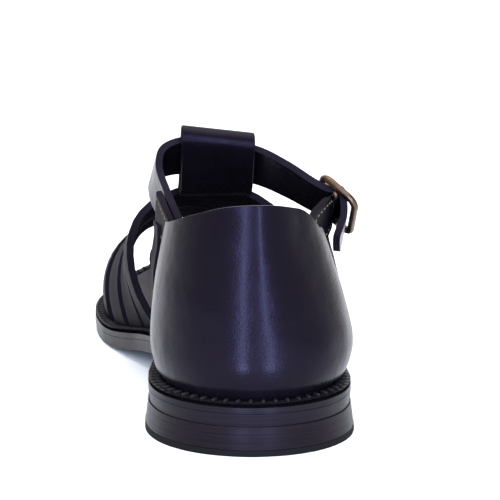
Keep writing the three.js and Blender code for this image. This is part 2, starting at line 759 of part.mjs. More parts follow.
// Named mesh of a solid in its colour
function part(name, body, finish) {
  const mesh = body.getMesh();
  const geometry = new THREE.BufferGeometry();
  geometry.setAttribute('position', new THREE.BufferAttribute(mesh.vertProperties, 3));
  geometry.setIndex(new THREE.BufferAttribute(mesh.triVerts, 1));
  geometry.computeVertexNormals();
  const piece = new THREE.Mesh(geometry, new THREE.MeshStandardMaterial(finish));
  piece.name = name;
  return piece;
}

const sandal = new THREE.Group();
sandal.position.y = -HEEL_CENTRE_Y;
for (const [name, body, finish] of pieces) {
  sandal.add(part(name, body, finish));
}

export default sandal;
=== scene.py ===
import math
from functools import lru_cache

import bmesh
import bpy
from mathutils import Matrix, Vector


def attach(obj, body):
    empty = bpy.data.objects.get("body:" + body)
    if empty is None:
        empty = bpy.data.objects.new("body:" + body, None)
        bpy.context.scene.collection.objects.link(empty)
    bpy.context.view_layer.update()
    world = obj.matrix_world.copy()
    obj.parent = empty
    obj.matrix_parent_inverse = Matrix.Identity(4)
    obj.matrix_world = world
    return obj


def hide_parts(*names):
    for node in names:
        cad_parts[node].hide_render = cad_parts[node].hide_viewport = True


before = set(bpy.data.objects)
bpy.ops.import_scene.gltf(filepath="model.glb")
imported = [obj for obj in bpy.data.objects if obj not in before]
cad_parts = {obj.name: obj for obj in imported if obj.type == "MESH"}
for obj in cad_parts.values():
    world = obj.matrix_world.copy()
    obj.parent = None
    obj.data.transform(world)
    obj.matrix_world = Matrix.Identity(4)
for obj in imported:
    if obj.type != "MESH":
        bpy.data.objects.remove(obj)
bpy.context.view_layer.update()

# Outsole. Real thing: black-dyed vegetable-tanned leather 4.2 mm thick, cut to the outline of the
# last. It is flat under the heel, rises over the arch, treads flat at the ball and springs up at
# the toe. Its edge is trimmed, waxed and burnished, which leaves fine lines that run along it.
OUTSOLE_THICKNESS = 4.2
OUTSOLE_UNDERCUT = 0.4
SOLE_GRID = (200, 6)
# Sizes are in millimetres and heights are over the floor. The tables' y starts at the back of the
# heel, 38 mm behind the frame's origin.
MM = 0.001
HEEL_CENTRE = 38
# A small share of a curve to read its direction by, steps to close in on a station, and metres
# within which points are one.
A_LITTLE = 1e-4
HALVINGS = 26
WELD = 1e-7
TOE_TIP = (-1.6, 286)
OUTLINE = [
    {"y": 1.4, "medial": -9, "lateral": 9},
    {"y": 5.5, "medial": -17.5, "lateral": 17.5},
    {"y": 12, "medial": -24.5, "lateral": 24.5},
    {"y": 22, "medial": -30.5, "lateral": 30.5},
    {"y": 35, "medial": -33.8, "lateral": 33.8},
    {"y": 50, "medial": -34, "lateral": 34.2},
    {"y": 66, "medial": -32, "lateral": 34},
    {"y": 84, "medial": -29.6, "lateral": 34.3},
    {"y": 102, "medial": -29, "lateral": 36},
    {"y": 120, "medial": -31, "lateral": 39},
    {"y": 138, "medial": -35.2, "lateral": 42.6},
    {"y": 156, "medial": -40.8, "lateral": 45.8},
    {"y": 174, "medial": -45.6, "lateral": 47.6},
    {"y": 192, "medial": -48.2, "lateral": 47.9},
    {"y": 210, "medial": -48.6, "lateral": 46.9},
    {"y": 227, "medial": -46.6, "lateral": 44.6},
    {"y": 241, "medial": -42.8, "lateral": 41},
    {"y": 253, "medial": -37.4, "lateral": 35.8},
    {"y": 263, "medial": -30.8, "lateral": 29.4},
    {"y": 271.5, "medial": -23.2, "lateral": 21.6},
    {"y": 279, "medial": -14.4, "lateral": 12.4},
    {"y": 283.6, "medial": -8, "lateral": 5.4},
]
SOLE_LINE = [
    {"y": 0, "z": 9.8},
    {"y": 76, "z": 9.8},
    {"y": 92, "z": 10.1},
    {"y": 110, "z": 9.5},
    {"y": 130, "z": 7},
    {"y": 150, "z": 3.4},
    {"y": 168, "z": 0.8},
    {"y": 182, "z": 0},
    {"y": 232, "z": 0},
    {"y": 250, "z": 1.6},
    {"y": 268, "z": 4.8},
    {"y": 286, "z": 9},
]
STATIONS = len(OUTLINE) + 1


def column(rows, key, value):
    """Smooth curve through one column of a table, flat where the table is flat."""
    x = [row[key] for row in rows]
    v = [row[value] for row in rows]
    slopes = [(v[i + 1] - v[i]) / (x[i + 1] - x[i]) for i in range(len(x) - 1)]
    tangents = [slopes[0]]
    for before, after in zip(slopes, slopes[1:]):
        tangents.append(0 if before * after <= 0 else 2 / (1 / before + 1 / after))
    tangents.append(slopes[-1])

    def at(where):
        if where <= x[0]:
            return v[0]
        if where >= x[-1]:
            return v[-1]
        i = next(k for k, end in enumerate(x) if end > where) - 1
        span, rise = x[i + 1] - x[i], v[i + 1] - v[i]
        s = (where - x[i]) / span
        a = span * tangents[i] - rise
        b = rise - span * tangents[i + 1]
        return v[i] + rise * s + s * (1 - s) * (a * (1 - s) + b * s)

    return at


def spline(points, closed=False):
    """Centripetal curve through points, read at a share from 0 to 1 of its rows."""
    points = [Vector(point) for point in points]
    count = len(points)

    def at(share):
        place = (count if closed else count - 1) * share
        i = math.floor(place)
        w = place - i
        if not closed and i >= count - 1:
            i, w = count - 2, 1.0
        b, c = points[i % count], points[(i + 1) % count]
        a = points[(i - 1) % count] if closed or i > 0 else 2 * b - c
        d = points[(i + 2) % count] if closed or i + 2 < count else 2 * c - b
        ab, bc, cd = ((q - p).length ** 0.5 or 1e-6 for p, q in ((a, b), (b, c), (c, d)))
        start = ((b - a) / ab - (c - a) / (ab + bc) + (c - b) / bc) * bc
        end = ((c - b) / bc - (d - b) / (bc + cd) + (d - c) / cd) * bc
        bend = 3 * (c - b) - 2 * start - end
        twist = 2 * (b - c) + start + end
        return b + start * w + bend * w**2 + twist * w**3

    return at


sole_line = column(SOLE_LINE, "y", "z")
outline = spline(
    [(0, 0, 0)]
    + [(row["medial"], row["y"], 0) for row in OUTLINE]
    + [(*TOE_TIP, 0)]
    + [(row["lateral"], row["y"], 0) for row in reversed(OUTLINE)],
    closed=True,
)


@lru_cache(maxsize=None)
def edge_frame(t, side):
    """Point and direction of the sole's edge at a station, on the medial (-1) or lateral side."""
    turn = t / (2 * STATIONS)
    share = turn if side < 0 else (1 - turn) % 1
    along = outline((share + A_LITTLE) % 1) - outline((share - A_LITTLE) % 1)
    return outline(share), along.normalized()


def edge_point(t, side, inset=0.0):
    """Point of the sole's edge at a station, moved in by an inset."""
    point, along = edge_frame(round(t, 6), side)
    return Vector((point.x + along.y * inset, point.y - along.x * inset, 0))


@lru_cache(maxsize=None)
def station_at(y, side=-1):
    """Station where the sole's edge reaches a distance from the back of the heel."""
    low, high = 0.0, float(STATIONS)
    for _ in range(HALVINGS):
        middle = (low + high) / 2
        if edge_point(middle, side).y < y:
            low = middle
        else:
            high = middle
    return (low + high) / 2


def in_frame(point):
    """Point of the tables, in millimetres from the back of the heel, as a place in the frame."""
    return Vector((point[0], point[1] - HEEL_CENTRE, point[2])) * MM


def lay_grid(bm, along, across, place):
    """Adds a grid laid on a surface by place(u, v), each from 0 to 1, and returns its points."""
    points = bmesh.ops.create_grid(bm, x_segments=along, y_segments=across, size=0.5)["verts"]
    for point in points:
        u, v = (
            round((value + 0.5) * count) / count for value, count in zip(point.co, (along, across))
        )
        point.co = in_frame(place(u, v))
    return points


def sole_layer(low, high, inset_low, inset_high, reach=STATIONS, along=SOLE_GRID[0]):
    """Closed layer of the sole between two heights, with its own inset at each."""
    bm = bmesh.new()
    for height, inset in ((high, inset_high), (low, inset_low)):
        def place(u, v):
            point = edge_point(reach * u, -1, inset).lerp(edge_point(reach * u, 1, inset), v)
            point.z = height(point.y)
            return point

        lay_grid(bm, along, SOLE_GRID[1], place)
    bmesh.ops.remove_doubles(bm, verts=bm.verts, dist=WELD)
    bmesh.ops.bridge_loops(bm, edges=[edge for edge in bm.edges if edge.is_boundary])
    bmesh.ops.recalc_face_normals(bm, faces=bm.faces)
    return bm


def linear(hex_colour):
    """Linear colour of an sRGB hex value."""
    parts = [int(hex_colour[i:i + 2], 16) / 255 for i in (1, 3, 5)]
    return (*(p / 12.92 if p <= 0.04045 else ((p + 0.055) / 1.055) ** 2.4 for p in parts), 1.0)


def add_node(tree, kind, settings=None, values=None, links=None):
    """Adds one node with its settings, socket values and links."""
    made = tree.nodes.new(kind)
    for name, value in (settings or {}).items():
        setattr(made, name, value)
    for name, value in (values or {}).items():
        made.inputs[name].default_value = value
    for name, source in (links or {}).items():
        tree.links.new(source, made.inputs[name])
    return made


def surface(name, **values):
    """New material with its shader's even values, and its tree, shader and object coordinates."""
    material = bpy.data.materials.new(name)
    material.use_nodes = True
    tree = material.node_tree
    shader = tree.nodes["Principled BSDF"]
    for socket, value in values.items():
        shader.inputs[socket.replace("_", " ")].default_value = value
    place = add_node(tree, "ShaderNodeTexCoord").outputs["Object"]
    return material, tree, shader, place


# The lines of a burnished edge are 25 mm long, and patches of wax are about 11 mm across.
LINE_LENGTH = 25
WAX_PER_METRE = 90.0
WAXED_GLOSS = (0.24, 0.45)


def burnished_edge(name, dark, light, line_mm):
    """Edge of sole leather, cut, waxed and burnished: lines run along it and wax lies unevenly."""
    material, tree, shader, place = surface(
        name, IOR=1.5, Specular_IOR_Level=0.07, Specular_Tint=linear("#d8c2f0"), Coat_Weight=0.02,
        Coat_Roughness=0.3,
    )
    lines = add_node(
        tree, "ShaderNodeMapping",
        values={"Scale": (1000 / LINE_LENGTH, 1000 / LINE_LENGTH, 1000 / line_mm)},
        links={"Vector": place},
    )
    fibres = add_node(
        tree, "ShaderNodeTexNoise", values={"Scale": 1.0, "Detail": 3.0},
        links={"Vector": lines.outputs["Vector"]},
    )
    wax = add_node(
        tree, "ShaderNodeTexNoise", values={"Scale": WAX_PER_METRE, "Detail": 4.0},
        links={"Vector": place},
    )
    blend = add_node(
        tree, "ShaderNodeMix", {"data_type": "RGBA"}, links={0: fibres.outputs["Fac"]}
    )
    blend.inputs["A"].default_value = linear(dark)
    blend.inputs["B"].default_value = linear(light)
    tree.links.new(blend.outputs["Result"], shader.inputs["Base Color"])
    gloss = add_node(
        tree, "ShaderNodeMapRange",
        values={"To Min": WAXED_GLOSS[0], "To Max": WAXED_GLOSS[1]},
        links={"Value": wax.outputs["Fac"]},
    )
    tree.links.new(gloss.outputs["Result"], shader.inputs["Roughness"])
    bump = add_node(
        tree, "ShaderNodeBump", values={"Strength": 0.5, "Distance": 0.0003},
        links={"Height": fibres.outputs["Fac"]},
    )
    tree.links.new(bump.outputs["Normal"], shader.inputs["Normal"])
    return material


def make_piece(name, bm, node, slot, *materials):
    """Piece of the upper or sole from a bmesh, standing for a node of the frame."""
    mesh = bpy.data.meshes.new(name)
    for face in bm.faces:
        face.smooth = True
    bm.to_mesh(mesh)
    bm.free()
    for material in materials:
        mesh.materials.append(material)
    piece = bpy.data.objects.new(name, mesh)
    bpy.context.collection.objects.link(piece)
    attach(piece, "root")
    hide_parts(node)
    return piece


def round_edges(piece, width_mm, segments=2, angle=40):
    """Bevel on the edges that turn by more than an angle."""
    bevel = piece.modifiers.new("rounded edges", "BEVEL")
    bevel.width = width_mm * MM
    bevel.segments = segments
    bevel.limit_method = "ANGLE"
    bevel.angle_limit = math.radians(angle)
    bevel.harden_normals = True


# Black edge dye under wax: a soft dark gloss with fine lines, about 0.5 mm apart.
sole_edge = burnished_edge("burnished_sole_edge", "#0f0c0f", "#1c181b", 0.5)
outsole = make_piece(
    "outsole_leather",
    sole_layer(sole_line, lambda y: sole_line(y) + OUTSOLE_THICKNESS, OUTSOLE_UNDERCUT, 0),
    "outsole", "sole_leather", sole_edge,
)
round_edges(outsole, width_mm=0.7)

# Midsole. Real thing: a thin leather runner between outsole and upper, dyed and trimmed with them,
# so that only a fine line parts the two on the edge.
MIDSOLE_BASE = 4.35
MIDSOLE_TOP = 6.35
midsole = make_piece(
    "midsole_leather",
    sole_layer(lambda y: sole_line(y) + MIDSOLE_BASE, lambda y: sole_line(y) + MIDSOLE_TOP, 0, 0),
    "midsole", "sole_leather", sole_edge,
)
round_edges(midsole, width_mm=0.25)

# Heel. Real thing: three leather lifts glued and pegged, trimmed to a slight flare and burnished
# brown-black, so that fine lines run round the block. A thin rubber top piece closes it below.
HEEL_BREAST = 74
HEEL_FLARE = 1.2
LIFT_EDGES = (2.1, 4.6, 7.1, 9.7)
LIFT_GAP = 0.04
TOP_PIECE = 2.0
TOP_PIECE_TAPER = 0.9
HEEL_CELLS = 80
# Lifts burnished together: brown-black, with lines that lie closer than on the sole's edge.
stack_leather = burnished_edge("stacked_heel_leather", "#0c090b", "#1d171b", 0.35)
lifts = bmesh.new()
for floor, ceiling in zip(LIFT_EDGES, LIFT_EDGES[1:]):
    spread = [HEEL_FLARE * (LIFT_EDGES[-1] - z) / LIFT_EDGES[-1] for z in (floor, ceiling)]
    lift = sole_layer(
        lambda y: floor + LIFT_GAP, lambda y: ceiling, -spread[0], -spread[1],
        station_at(HEEL_BREAST), HEEL_CELLS,
    )
    joined = bpy.data.meshes.new("lift")
    lift.to_mesh(joined)
    lift.free()
    lifts.from_mesh(joined)
    bpy.data.meshes.remove(joined)
heel = make_piece("stacked_heel", lifts, "heel_stack", "stack_leather", stack_leather)
round_edges(heel, width_mm=0.12, segments=1)

# Moulded rubber: flat black without gloss. Its crumb is drawn 0.7 mm across, coarser than it is, so
# that it shows.
CRUMB_PER_METRE = 1500.0
rubber, tree, shader, place = surface(
    "moulded_rubber", Roughness=0.75, IOR=1.52, Specular_IOR_Level=0.08
)
shader.inputs["Base Color"].default_value = linear("#121011")
crumb = add_node(
    tree, "ShaderNodeTexNoise", values={"Scale": CRUMB_PER_METRE}, links={"Vector": place}
)
bump = add_node(
    tree, "ShaderNodeBump", values={"Strength": 0.3, "Distance": 0.0002},
    links={"Height": crumb.outputs["Fac"]},
)
tree.links.new(bump.outputs["Normal"], shader.inputs["Normal"])
top_piece = make_piece(
    "rubber_top_piece",
    sole_layer(
        lambda y: 0, lambda y: TOP_PIECE, -HEEL_FLARE, -HEEL_FLARE * TOP_PIECE_TAPER,
        station_at(HEEL_BREAST), HEEL_CELLS,
    ),
    "heel_top_piece", "top_piece_rubber", rubber,
)
round_edges(top_piece, width_mm=0.3)

# Welt. Real thing: a leather strip laid round the foot of the upper and sewn through the sole.
# Thick waxed thread is whipped over it and pinches it, so that its inner edge looks like rope.
FEATHER = 6.5
WELT_TOP = 8.0
WELT_INSET = 0.05
WELT_PLAY = 0.15
WELT_SHOULDER = 0.4
WELT_DOME = 0.35
STITCH_PITCH = 4.2
STITCH_PINCH = 0.2
WELT_STEPS = 1200
CELLS_PER_STITCH = 8
WELT_ACROSS = 8
OVER_THE_TOP = 0.75
LEDGE = [
    {"y": 0, "width": 4.5},
    {"y": 60, "width": 4.4},
    {"y": 120, "width": 3.6},
    {"y": 286, "width": 3.2},
]
ledge = column(LEDGE, "y", "width")


def around(u):
    """Station and side at a share of the way round the sole from the back of the heel."""
    return (2 * STATIONS * u, -1) if u <= 0.5 else (2 * STATIONS * (1 - u), 1)


def welt_point(u, across, up):
    """Point of the welt: across runs from the sole's edge at 0 to the upper's foot at 1."""
    t, side = around(u)
    inset = WELT_INSET + (ledge(edge_point(t, side).y) - WELT_PLAY) * across
    point = edge_point(t, side, inset)
    point.z = sole_line(point.y) + up
    return point


welt_length = 0.0
welt_marks = [(0.0, 0.0)]
for step in range(1, WELT_STEPS + 1):
    here, before = (welt_point(at / WELT_STEPS, 0.5, 0) for at in (step, step - 1))
    welt_length += (here - before).length
    welt_marks.append((welt_length, step / WELT_STEPS))
stitch_count = round(welt_length / STITCH_PITCH)


def share_at(distance):
    """Share of the way round the sole at a distance along the welt."""
    for (before, a), (after, b) in zip(welt_marks, welt_marks[1:]):
        if after >= distance:
            return a + (b - a) * (distance - before) / (after - before)
    return 1.0


welt_cells = stitch_count * CELLS_PER_STITCH
welt_shares = [share_at(welt_length * i / welt_cells) for i in range(welt_cells + 1)]


def welt_place(u, v):
    """Ring of the welt's section: v goes over its top from the outer edge and back below it."""
    share = welt_shares[round(u * welt_cells)]
    if v > OVER_THE_TOP:
        return welt_point(share, (1 - v) / (1 - OVER_THE_TOP), FEATHER)
    across = v / OVER_THE_TOP
    wave = math.cos(2 * math.pi * u * stitch_count)
    pinch = STITCH_PINCH * wave * math.sin(math.pi * across)
    dome = WELT_DOME * (1 - (2 * across - 1) ** 2)
    return welt_point(share, across, WELT_TOP - WELT_SHOULDER + dome + pinch)


bm = bmesh.new()
lay_grid(bm, welt_cells, WELT_ACROSS, welt_place)
bmesh.ops.remove_doubles(bm, verts=bm.verts, dist=WELD)
bmesh.ops.recalc_face_normals(bm, faces=bm.faces)
welt = make_piece("welt_strip", bm, "welt", "sole_leather", sole_edge)
round_edges(welt, width_mm=0.2)

# Waxed linen: nearly black, with a dull sheen and the twist of its plies.
TWIST = 0.4
thread_dark, tree, shader, place = surface(
    "waxed_linen_thread", Roughness=0.5, IOR=1.5, Specular_IOR_Level=0.1
)
shader.inputs["Base Color"].default_value = linear("#1f191c")
twist = add_node(
    tree, "ShaderNodeTexNoise", values={"Scale": 1000 / TWIST}, links={"Vector": place}
)
bump = add_node(
    tree, "ShaderNodeBump", values={"Strength": 0.4, "Distance": 0.0002},
    links={"Height": twist.outputs["Fac"]},
)
tree.links.new(bump.outputs["Normal"], shader.inputs["Normal"])


def add_stitch(bm, middle, along, up, length_mm, width_mm, height_mm):
    """Adds one stitch: a rounded length of thread along a direction, in table millimetres."""
    beside = up.cross(along).normalized()
    up = along.cross(beside).normalized()
    turn = Matrix((along.normalized(), beside, up)).transposed().to_4x4()
    size = Matrix.Diagonal((length_mm * MM / 2, width_mm * MM / 2, height_mm * MM / 2, 1))
    place_it = Matrix.Translation(in_frame(middle)) @ turn @ size
    bmesh.ops.create_icosphere(bm, subdivisions=2, radius=1, matrix=place_it)


# Each stitch lies aslant between two ends, given by how far across the welt and how high they are.
RIM_STITCH = {"length_mm": 3.4, "width_mm": 1.5, "height_mm": 1.3}
STITCH_INNER = (0.98, 0.1)
STITCH_OUTER = (0.3, -0.05)
STITCH_SLANT = 0.0012
bm = bmesh.new()
for index in range(stitch_count):
    share = share_at(welt_length * (index + 0.5) / stitch_count)
    inner = welt_point(share, STITCH_INNER[0], WELT_TOP + STITCH_INNER[1])
    outer = welt_point(share + STITCH_SLANT, STITCH_OUTER[0], WELT_TOP + STITCH_OUTER[1])
    add_stitch(bm, inner.lerp(outer, 0.5), outer - inner, Vector((0, 0, 1)), **RIM_STITCH)
make_piece("rim_stitches", bm, "welt", "sole_leather", thread_dark)

# Insole. Real thing: a bonded leather board covered in dark grey sock leather, glued down inside
# the upper. It is worn matt where the foot rests.
INSOLE_BASE = 8.0
INSOLE_TOP = 10.5
INSOLE_INSET = 7.7
# Sock leather: dark grey and matt, in patches 22 mm across where feet have rubbed it. Its grain is
# drawn 0.9 mm across, coarser than it is, so that it shows.
WORN_PER_METRE = 45.0
SOCK_GRAIN_PER_METRE = 1100.0
sock, tree, shader, place = surface(
    "sock_leather", Roughness=0.55, IOR=1.45, Specular_IOR_Level=0.15
)
worn = add_node(
    tree, "ShaderNodeTexNoise", values={"Scale": WORN_PER_METRE, "Detail": 5.0},
    links={"Vector": place},
)
blend = add_node(tree, "ShaderNodeMix", {"data_type": "RGBA"}, links={0: worn.outputs["Fac"]})
blend.inputs["A"].default_value = linear("#262226")
blend.inputs["B"].default_value = linear("#38333a")
tree.links.new(blend.outputs["Result"], shader.inputs["Base Color"])
grain = add_node(
    tree, "ShaderNodeTexNoise", values={"Scale": SOCK_GRAIN_PER_METRE, "Detail": 2.0},
    links={"Vector": place},
)
bump = add_node(
    tree, "ShaderNodeBump", values={"Strength": 0.3, "Distance": 0.0002},
    links={"Height": grain.outputs["Fac"]},
)
tree.links.new(bump.outputs["Normal"], shader.inputs["Normal"])
insole = make_piece(
    "sock_covered_insole",
    sole_layer(
        lambda y: sole_line(y) + INSOLE_BASE, lambda y: sole_line(y) + INSOLE_TOP,
        INSOLE_INSET, INSOLE_INSET,
    ),
    "insole", "insole_leather", sock,
)
round_edges(insole, width_mm=0.7)

# Counter. Real thing: a stiff heel cup of black calf about 2.2 mm thick, lasted under the insole.
# Its wall swells out of the welt and leans in to the top line, which is cut raw and shows lighter.
WALL = 2.2
HEEL_SEAT = 9.8
READING_LEVEL = 20
COUNTER_LEAN = [
    {"up": 6.5, "out": 0, "skew": 0},
    {"up": 8.4, "out": 0.05, "skew": 0},
    {"up": 11.5, "out": 2.1, "skew": 0.9},
    {"up": 21, "out": 3.8, "skew": 1.4},
    {"up": 35, "out": 2.8, "skew": -0.4},
    {"up": 51, "out": 0.2, "skew": -2.8},
    {"up": 61, "out": -1.8, "skew": -3.8},
    {"up": 73, "out": -4.4, "skew": -3.8},
]
TOPLINE = [
    {"y": 0, "medial": 81.8, "lateral": 81.8},
    {"y": 3, "medial": 81.2, "lateral": 81.2},
    {"y": 6, "medial": 80.5, "lateral": 80.5},
    {"y": 12, "medial": 79, "lateral": 79.5},
    {"y": 18, "medial": 77.7, "lateral": 78.7},
    {"y": 25, "medial": 76.3, "lateral": 76.7},
    {"y": 34, "medial": 74.4, "lateral": 73.3},
    {"y": 46, "medial": 72.3, "lateral": 68.6},
    {"y": 58, "medial": 70.6, "lateral": 67.6},
    {"y": 80, "medial": 68, "lateral": 66.8},
]
COUNTER_REACH = [
    {"up": 6.5, "medial": 77, "lateral": 74},
    {"up": 20, "medial": 71.5, "lateral": 68},
    {"up": 35, "medial": 66, "lateral": 61},
    {"up": 50, "medial": 59, "lateral": 53},
    {"up": 60, "medial": 54, "lateral": 48},
]
counter_lean = column(COUNTER_LEAN, "up", "out")
counter_skew = column(COUNTER_LEAN, "up", "skew")
topline = {-1: column(TOPLINE, "y", "medial"), 1: column(TOPLINE, "y", "lateral")}
reach = {-1: column(COUNTER_REACH, "up", "medial"), 1: column(COUNTER_REACH, "up", "lateral")}


def counter_point(u, v):
    """Point of the counter's outer face: u runs round the heel, v from the welt to the top line."""
    u = 2 * u - 1
    side = -1 if u < 0 else 1
    far = edge_point(station_at(reach[side](READING_LEVEL), side) * abs(u), side).y
    up = FEATHER + (topline[side](far) - HEEL_SEAT - FEATHER) * v
    turned = min(1, 2 * abs(u))
    skew = counter_skew(up) * turned**2 * (3 - 2 * turned) if side > 0 else 0
    inset = ledge(0) - counter_lean(up) - skew
    point = edge_point(station_at(round(reach[side](up), 4), side) * abs(u), side, inset)
    point.z = sole_line(point.y) + up
    return point


# Dye lies unevenly in patches 17 mm across, which also vary the gloss, and the hide has low waves
# 8 mm across.
DYE_PER_METRE = 60.0
WAVES_PER_METRE = 120.0
GLOSS_SPREAD = (-0.06, 0.08)


def leather(name, dark, light, rough, grain_mm, depth_mm, coat, shine=0.09):
    """Chrome-tanned calf, dyed through and finished with a thin waxed coat over its grain.

    The grain is drawn up to twice as coarse as it is, so that it shows.
    """
    material, tree, shader, place = surface(
        name, IOR=1.48, Specular_IOR_Level=shine, Specular_Tint=linear("#d6b8f7"), Coat_Weight=coat,
        Coat_Roughness=0.2,
    )
    cloud = add_node(
        tree, "ShaderNodeTexNoise", values={"Scale": DYE_PER_METRE, "Detail": 5.0},
        links={"Vector": place},
    )
    blend = add_node(tree, "ShaderNodeMix", {"data_type": "RGBA"}, links={0: cloud.outputs["Fac"]})
    blend.inputs["A"].default_value = linear(dark)
    blend.inputs["B"].default_value = linear(light)
    tree.links.new(blend.outputs["Result"], shader.inputs["Base Color"])
    gloss = add_node(
        tree, "ShaderNodeMapRange",
        values={"To Min": rough + GLOSS_SPREAD[0], "To Max": rough + GLOSS_SPREAD[1]},
        links={"Value": cloud.outputs["Fac"]},
    )
    tree.links.new(gloss.outputs["Result"], shader.inputs["Roughness"])
    pores = add_node(
        tree, "ShaderNodeTexNoise", values={"Scale": 1000 / grain_mm, "Detail": 2.0},
        links={"Vector": place},
    )
    waves = add_node(
        tree, "ShaderNodeTexNoise", values={"Scale": WAVES_PER_METRE, "Detail": 1.0},
        links={"Vector": place},
    )
    fine = add_node(
        tree, "ShaderNodeBump", values={"Strength": 0.45, "Distance": depth_mm * MM},
        links={"Height": pores.outputs["Fac"]},
    )
    broad = add_node(
        tree, "ShaderNodeBump", values={"Strength": 0.25, "Distance": 0.0012},
        links={"Height": waves.outputs["Fac"], "Normal": fine.outputs["Normal"]},
    )
    tree.links.new(broad.outputs["Normal"], shader.inputs["Normal"])
    return material


# Waxed calf is near-black with a soft gloss that draws lights out into streaks. A cut edge shows
# its fibres, rough and without gloss.
calf = leather("waxed_black_calf", "#070508", "#0d0a0f", 0.27, 0.7, 0.16, 0.03)
raw_edge = leather("raw_cut_leather_edge", "#0c0a0d", "#221d25", 0.75, 0.35, 0.3, 0.0, 0.04)
SHEET_WELD = 2e-5
# Which way a sheet's thickness goes from its surface.
INWARDS = -1
BOTH_WAYS = 0


def sheet(name, grid, surface_point, thickness, offset, inside, edge_mm=0.5, trim=None,
          node="upper", face=calf, edge=raw_edge):
    """Leather cut to shape: a laid grid given its thickness, with raw edges and rounded arrises."""
    bm = bmesh.new()
    lay_grid(bm, *grid, surface_point)
    bmesh.ops.remove_doubles(bm, verts=bm.verts, dist=SHEET_WELD)
    if trim:
        trim(bm)
    bmesh.ops.recalc_face_normals(bm, faces=bm.faces)
    facing = sum((face.calc_center_median() - inside(face)).dot(face.normal) for face in bm.faces)
    if facing < 0:
        bmesh.ops.reverse_faces(bm, faces=bm.faces)
    piece = make_piece(name, bm, node, "upper_leather", face, edge)
    solidify = piece.modifiers.new("leather thickness", "SOLIDIFY")
    solidify.thickness = thickness * MM
    solidify.offset = offset
    solidify.use_even_offset = True
    solidify.material_offset_rim = 1
    round_edges(piece, edge_mm)


FOOT_AXIS = {"x": -0.003, "z": 0.025, "end": 0.19}


def middle_of_foot(face):
    """Point on the foot's axis, in metres, as far along as a face."""
    centre = face.calc_center_median()
    return Vector((FOOT_AXIS["x"], max(min(centre.y, FOOT_AXIS["end"]), 0.0), FOOT_AXIS["z"]))


# The counter's cut edges are coloured pale grey as a painted highlight for the light that the top
# line catches, so that it is a pale grey thread of light along the counter. This colour lies on every
# cut edge of the counter, the front edges too.
counter_edge_painted_highlight = leather("cut_edge_painted_highlight", "#4c4650", "#857d8c", 0.6, 0.35, 0.2, 0.0)
sheet(
    "heel_counter", (110, 30), counter_point, WALL, INWARDS, middle_of_foot, 0.3,
    edge=counter_edge_painted_highlight,
)

# Cage. Real thing: four calf straps 2.6 mm thick, lasted under the insole on both sides and led
# over the foot below the T-bar. Their edges are cut raw.
STRAP = 2.6
FOOT = 8.3
LASTED = 1.16
STRAP_CURVE = 1.4
# The foot form at each y: its ridge, and for the medial (M) and lateral (L) side how its wall
# flares and rises from the welt, and how far its shoulder lies from the ridge.
LAST_COLUMNS = (
    "y", "x", "z", "flareM", "riseM", "shoulderM", "flareL", "riseL", "shoulderL",
)
LAST = [dict(zip(LAST_COLUMNS, row)) for row in (
    (92, -8, 86, 16, 28, 38, 8, 14, 26),
    (107, -8, 72, 18, 28, 40, 8, 14, 28),
    (120, -8, 66, 18, 22, 40, 8, 14, 28),
    (145, -7, 59, 13, 26, 33, 8, 16, 28),
    (170, -6, 53.5, 11, 26, 30, 8, 17, 26),
    (200, -4, 46.5, 5, 24, 30, 8, 17, 24),
    (228, -2.5, 39, 4, 18, 22, 6, 15, 20),
    (252, -1.5, 33, 2.5, 13, 14, 2.5, 12, 14),
    (268, -1.5, 28.6, 1, 9, 8, 1, 9, 8),
    (278, -1.5, 24, 0, 5, 3, 0, 5, 3),
    (283, -1.5, 18.6, 0, 2, 0, 0, 2, 0),
)]
CAGE = [
    {"medial": 130, "ridge": 111, "lateral": 116, "width": 14},
    {"medial": 147, "ridge": 130, "lateral": 138, "width": 13},
    {"medial": 165, "ridge": 150, "lateral": 162, "width": 13},
    {"medial": 189, "ridge": 171, "lateral": 187, "width": 13},
]
form = {name: column(LAST, "y", name) for name in LAST_COLUMNS}


def foot_point(t, across, depth):
    """Point of the foot form: across runs from -1 over the ridge at 0 to 1, and past them down."""
    side = -1 if across < 0 else 1
    key = "M" if side < 0 else "L"
    rim = edge_point(t, side).y
    foot = edge_point(t, side, ledge(rim) + depth)
    foot.z = sole_line(foot.y) + FOOT
    past = abs(across) - 1
    if past > 0:
        foot.z += (FEATHER - FOOT) * past
        return foot
    far = edge_point(t, -side, ledge(rim) + depth)
    y = (foot.y + far.y) / 2
    lean = min(math.hypot(1, (form["z"](y + 1) - form["z"](y - 1)) / 2), 2)
    ridge = Vector((form["x"](y), y, form["z"](y) - depth * lean))
    wall = foot + Vector((side * form["flare" + key](y), 0, form["rise" + key](y)))
    shoulder = ridge + Vector((side * form["shoulder" + key](y), 0, 0))
    s = 1 - abs(across)
    low, high = (1 - s) ** 3 * foot, s**3 * ridge
    return low + 3 * s * (1 - s) ** 2 * wall + 3 * s**2 * (1 - s) * shoulder + high


def cage_strap(row):
    """Surface of one strap, which curves from the ridge to the welt and on under the insole."""
    def point(u, v):
        across = max(-2, min(2, (1 + LASTED) * (2 * u - 1)))
        if abs(across) > 1:
            across = math.copysign(1 + (abs(across) - 1) / LASTED, across)
        end = row["medial"] if across < 0 else row["lateral"]
        centre = row["ridge"] + (end - row["ridge"]) * min(1, abs(across)) ** STRAP_CURVE
        return foot_point(station_at(round(centre + (v - 0.5) * row["width"], 3)), across, 0)

    return point


# The straps' calf isn't waxed: black and nearly matt.
strap_calf = leather("matt_black_calf", "#070609", "#0f0c11", 0.5, 0.7, 0.1, 0.0, 0.022)
for number, row in enumerate(CAGE, start=1):
    sheet(
        f"cage_strap_{number}", (64, 8), cage_strap(row), STRAP, INWARDS, middle_of_foot,
        face=strap_calf,
    )

